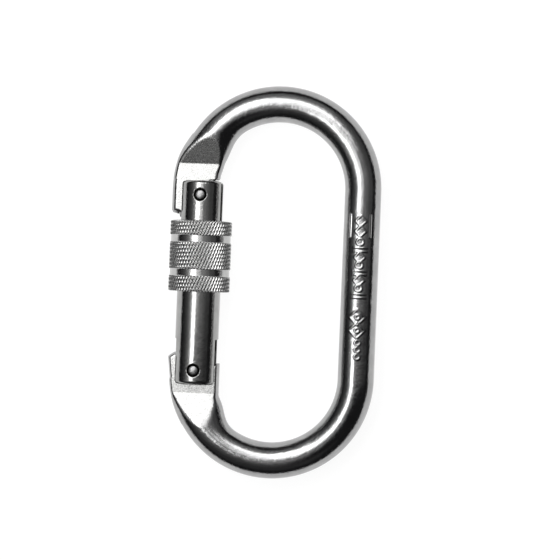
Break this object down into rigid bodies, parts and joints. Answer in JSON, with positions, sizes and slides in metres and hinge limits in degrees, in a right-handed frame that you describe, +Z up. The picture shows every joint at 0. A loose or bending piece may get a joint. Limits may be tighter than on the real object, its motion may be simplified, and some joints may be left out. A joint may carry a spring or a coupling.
{
  "type": "screw-locking oval carabiner",
  "caption": "Oval steel carabiner with a sprung hinged gate, a latch pin in a hooked nose, and a knurled sleeve that screws up to lock the gate.",
  "frame": {"origin": "centre of the bounding box's underside, on the surface the carabiner lies on, below the middle of the oval's length", "axes": "+X from the gate to the spine, +Y along the oval towards the nose, +Z up through its thickness"},
  "size_m": [0.0578, 0.108, 0.017],
  "materials": {
    "rod_steel": "zinc plated, polished",
    "gate_steel": "zinc plated, polished",
    "sleeve_steel": "zinc plated, diamond knurled",
    "pin_steel": "plain steel, domed ends",
    "spring_steel": "spring wire",
    "link_steel": "stamped steel"
  },
  "bodies": {
    "frame_body": {"frame": "rod_steel"},
    "gate_body": {"gate": "gate_steel", "hinge_rivet": "pin_steel", "latch_pin": "pin_steel"},
    "sleeve_carriage": {"sleeve_thread": "sleeve_steel"},
    "sleeve_body": {"locking_sleeve": "sleeve_steel"},
    "link_body": {"spring_link": "link_steel", "gate_spring": "spring_steel"}
  },
  "joints": [
    {"name": "gate_hinge", "type": "hinge", "parent": "frame_body", "child": "gate_body", "pos_m": [-0.0204, -0.025, 0.0085], "axis": [0, 0, -1], "range_deg": [0, 30], "stiffness_Nm_per_rad": 0.25, "springref_deg": -45.84},
    {"name": "sleeve_travel", "type": "slide", "parent": "gate_body", "child": "sleeve_carriage", "axis": [0, 1, 0], "range_m": [-0.0101, 0.00155]},
    {"name": "sleeve_turn", "type": "hinge", "parent": "sleeve_carriage", "child": "sleeve_body", "pos_m": [-0.0204, 0, 0.0085], "axis": [0, 1, 0], "range_deg": [-2400, 360]},
    {"name": "link_slide", "type": "slide", "parent": "gate_body", "child": "link_body", "axis": [0, 1, 0], "range_m": [0, 0.0033], "deforming": ["gate_spring"]}
  ],
  "couplings": [
    {"joint": "sleeve_travel", "follows": "sleeve_turn", "m_per_rad": 0.00023873},
    {"joint": "link_slide", "follows": "gate_hinge", "m_per_rad": 0.00619}
  ]
}
